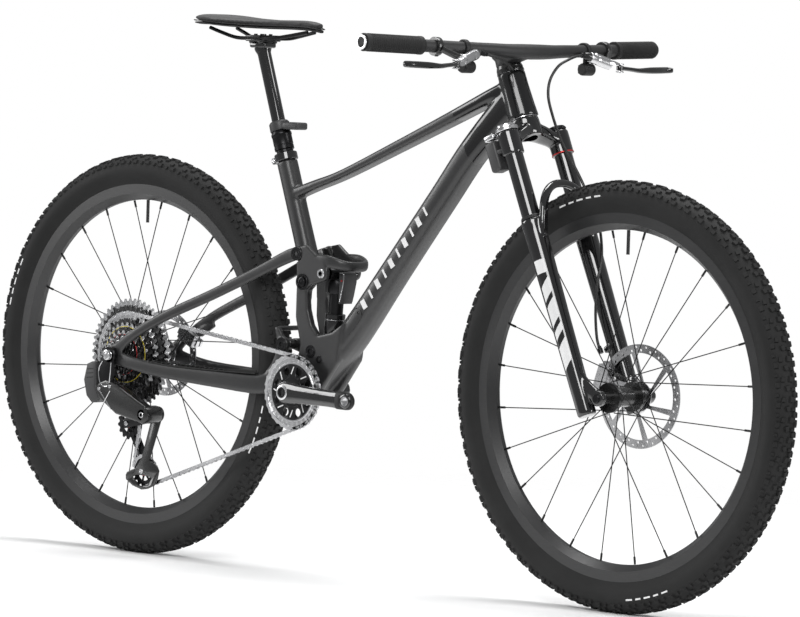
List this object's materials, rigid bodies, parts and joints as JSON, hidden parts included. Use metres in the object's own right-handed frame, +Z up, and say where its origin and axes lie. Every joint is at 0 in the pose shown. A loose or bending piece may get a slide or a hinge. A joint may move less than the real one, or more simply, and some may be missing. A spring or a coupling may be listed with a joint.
{
  "type": "mountain bike",
  "caption": "Full-suspension mountain bike with carbon frame, suspension fork, dropper seat post, disc brakes, wide one-piece handlebar and a single-chainring drivetrain, without pedals",
  "frame": {"origin": "on the ground, midway between the two axles, on the bike's centre plane", "axes": "+X forward, +Y to the rider's left, +Z up; the drive side is -Y"},
  "size_m": [1.9119, 0.7676, 1.0074],
  "materials": {
    "carbon_satin": "satin painted carbon, clear coat",
    "carbon_black": "gloss black lacquer",
    "black_anodised": "black anodised, satin",
    "silver_alloy": "machined and polished",
    "steel": "bright steel",
    "black_steel": "black oxide steel",
    "tyre_rubber": "matt moulded rubber",
    "grip_rubber": "matt ribbed rubber",
    "seal_rubber": "matt",
    "black_plastic": "moulded, fine texture",
    "saddle_vinyl": "smooth synthetic cover",
    "hose_black": "extruded hose"
  },
  "bodies": {
    "frame": {"front_triangle": "carbon_satin", "headset_bearings": "steel", "bottom_bracket": "black_anodised", "seat_clamp": "black_anodised", "frame_bolts": "black_anodised", "dropper_outer": "black_anodised", "dropper_battery": "black_plastic"},
    "seat": {"dropper_post": "black_anodised", "saddle_clamp": "black_anodised", "saddle_rails": "black_steel", "saddle_shell": "black_plastic", "saddle_cover": "saddle_vinyl"},
    "steering": {"fork_crown": "carbon_black", "stanchions": "black_anodised", "fork_control": "silver_alloy", "headset_cover": "black_anodised", "cockpit": "carbon_satin", "grips": "grip_rubber", "bar_plugs": "silver_alloy", "brake_bodies": "silver_alloy", "shift_pods": "black_plastic", "rear_hose": "hose_black"},
    "lever_left": {"brake_lever_left": "black_anodised"},
    "lever_right": {"brake_lever_right": "black_anodised"},
    "button_left": {"pod_button_left": "black_plastic"},
    "button_right": {"pod_button_right": "black_plastic"},
    "lowers": {"fork_lowers": "carbon_black", "fork_seals": "seal_rubber", "front_axle": "black_anodised", "front_caliper": "silver_alloy", "front_hose": "hose_black"},
    "front_wheel": {"front_tyre": "tyre_rubber", "front_rim": "carbon_satin", "front_spokes": "black_steel", "front_hub": "black_anodised", "front_rotor": "steel"},
    "lower_link": {"lower_link": "black_anodised"},
    "upper_link": {"upper_link": "carbon_satin"},
    "swingarm": {"swingarm": "carbon_satin", "rear_axle": "silver_alloy", "rear_caliper": "silver_alloy", "derailleur_body": "black_anodised", "derailleur_battery": "black_plastic", "chain_rear": "steel"},
    "cage": {"derailleur_cage": "black_anodised"},
    "pulley_top": {"pulley_upper": "black_plastic"},
    "pulley_bottom": {"pulley_lower": "black_plastic"},
    "rear_wheel": {"rear_tyre": "tyre_rubber", "rear_rim": "carbon_satin", "rear_spokes": "black_steel", "rear_hub": "black_anodised", "rear_rotor": "steel"},
    "cassette": {"cassette": "steel"},
    "crankset": {"crank_right": "carbon_black", "crank_left": "carbon_black", "chainring": "steel"},
    "shock_can": {"shock_can": "black_anodised"},
    "shock_shaft": {"shock_damper": "black_anodised", "shock_battery": "black_plastic"},
    "chain": {"chain_run": "steel"}
  },
  "joints": [
    {"name": "dropper_slide", "type": "slide", "parent": "frame", "child": "seat", "axis": [-0.3206, 0, 0.9472], "range_m": [-0.1, 0]},
    {"name": "steering", "type": "hinge", "parent": "frame", "child": "steering", "pos_m": [0.5445, 0, 0.35381], "axis": [-0.3907, 0, 0.9205], "range_deg": [-60, 60]},
    {"name": "fork_slide", "type": "slide", "parent": "steering", "child": "lowers", "axis": [-0.3907, 0, 0.9205], "range_m": [0, 0.11], "stiffness_N_per_m": 6000, "deforming": ["front_hose"]},
    {"name": "front_wheel_spin", "type": "hinge", "parent": "lowers", "child": "front_wheel", "pos_m": [0.585, 0, 0.371], "axis": [0, 1, 0], "continuous": true},
    {"name": "left_lever_pivot", "type": "hinge", "parent": "steering", "child": "lever_left", "pos_m": [0.37071, 0.21571, 0.93159], "axis": [0, 0, 1], "range_deg": [0, 14], "stiffness_Nm_per_rad": 2},
    {"name": "right_lever_pivot", "type": "hinge", "parent": "steering", "child": "lever_right", "pos_m": [0.37071, -0.21571, 0.93159], "axis": [0, 0, -1], "range_deg": [0, 14], "stiffness_Nm_per_rad": 2},
    {"name": "left_button_press", "type": "slide", "parent": "steering", "child": "button_left", "axis": [1, 0, 0], "range_m": [0, 0.002], "stiffness_N_per_m": 1000},
    {"name": "right_button_press", "type": "slide", "parent": "steering", "child": "button_right", "axis": [1, 0, 0], "range_m": [0, 0.002], "stiffness_N_per_m": 1000},
    {"name": "upper_link_pivot", "type": "hinge", "parent": "frame", "child": "upper_link", "pos_m": [-0.139, 0, 0.53], "axis": [0, 1, 0], "range_deg": [0, 42], "stiffness_Nm_per_rad": 110},
    {"name": "lower_link_pivot", "type": "hinge", "parent": "frame", "child": "lower_link", "pos_m": [-0.125, 0, 0.405], "axis": [0, 1, 0], "range_deg": [0, 10.5]},
    {"name": "swingarm_pivot", "type": "hinge", "parent": "lower_link", "child": "swingarm", "pos_m": [-0.185, 0, 0.415], "axis": [0, 1, 0], "range_deg": [0, 2.8]},
    {"name": "shock_can_pivot", "type": "hinge", "parent": "frame", "child": "shock_can", "pos_m": [-0.103, 0, 0.392], "axis": [0, 1, 0], "range_deg": [0, 3]},
    {"name": "shock_stroke", "type": "slide", "parent": "shock_can", "child": "shock_shaft", "axis": [0.0644, 0, 0.9979], "range_m": [-0.036, 0]},
    {"name": "rear_wheel_spin", "type": "hinge", "parent": "swingarm", "child": "rear_wheel", "pos_m": [-0.585, 0, 0.371], "axis": [0, 1, 0], "continuous": true},
    {"name": "crank_spin", "type": "hinge", "parent": "frame", "child": "crankset", "pos_m": [-0.148, 0, 0.331], "axis": [0, 1, 0], "continuous": true},
    {"name": "cassette_spin", "type": "hinge", "parent": "swingarm", "child": "cassette", "pos_m": [-0.585, 0, 0.371], "axis": [0, 1, 0], "continuous": true},
    {"name": "cage_pivot", "type": "hinge", "parent": "swingarm", "child": "cage", "pos_m": [-0.494, 0, 0.266], "axis": [0, 1, 0], "range_deg": [-9, 0], "deforming": ["chain_rear"]},
    {"name": "upper_pulley_spin", "type": "hinge", "parent": "cage", "child": "pulley_top", "pos_m": [-0.577, 0, 0.243], "axis": [0, 1, 0], "continuous": true},
    {"name": "lower_pulley_spin", "type": "hinge", "parent": "cage", "child": "pulley_bottom", "pos_m": [-0.534, 0, 0.157], "axis": [0, 1, 0], "continuous": true},
    {"name": "chain_swing", "type": "hinge", "parent": "frame", "child": "chain", "pos_m": [-0.148, 0, 0.331], "axis": [0, 1, 0], "range_deg": [0, 13.5], "deforming": ["chain_run"]}
  ],
  "couplings": [
    {"joint": "lower_link_pivot", "follows": "upper_link_pivot", "ratio": 0.2354},
    {"joint": "swingarm_pivot", "follows": "upper_link_pivot", "ratio": 0.0648},
    {"joint": "shock_can_pivot", "follows": "upper_link_pivot", "ratio": 0.0438},
    {"joint": "shock_stroke", "follows": "upper_link_pivot", "m_per_rad": -0.04766},
    {"joint": "cage_pivot", "follows": "upper_link_pivot", "ratio": -0.19},
    {"joint": "chain_swing", "follows": "upper_link_pivot", "ratio": 0.306},
    {"joint": "cassette_spin", "follows": "crank_spin", "ratio": 0.8421},
    {"joint": "upper_pulley_spin", "follows": "crank_spin", "ratio": -2.2857},
    {"joint": "lower_pulley_spin", "follows": "crank_spin", "ratio": 2.2857}
  ]
}
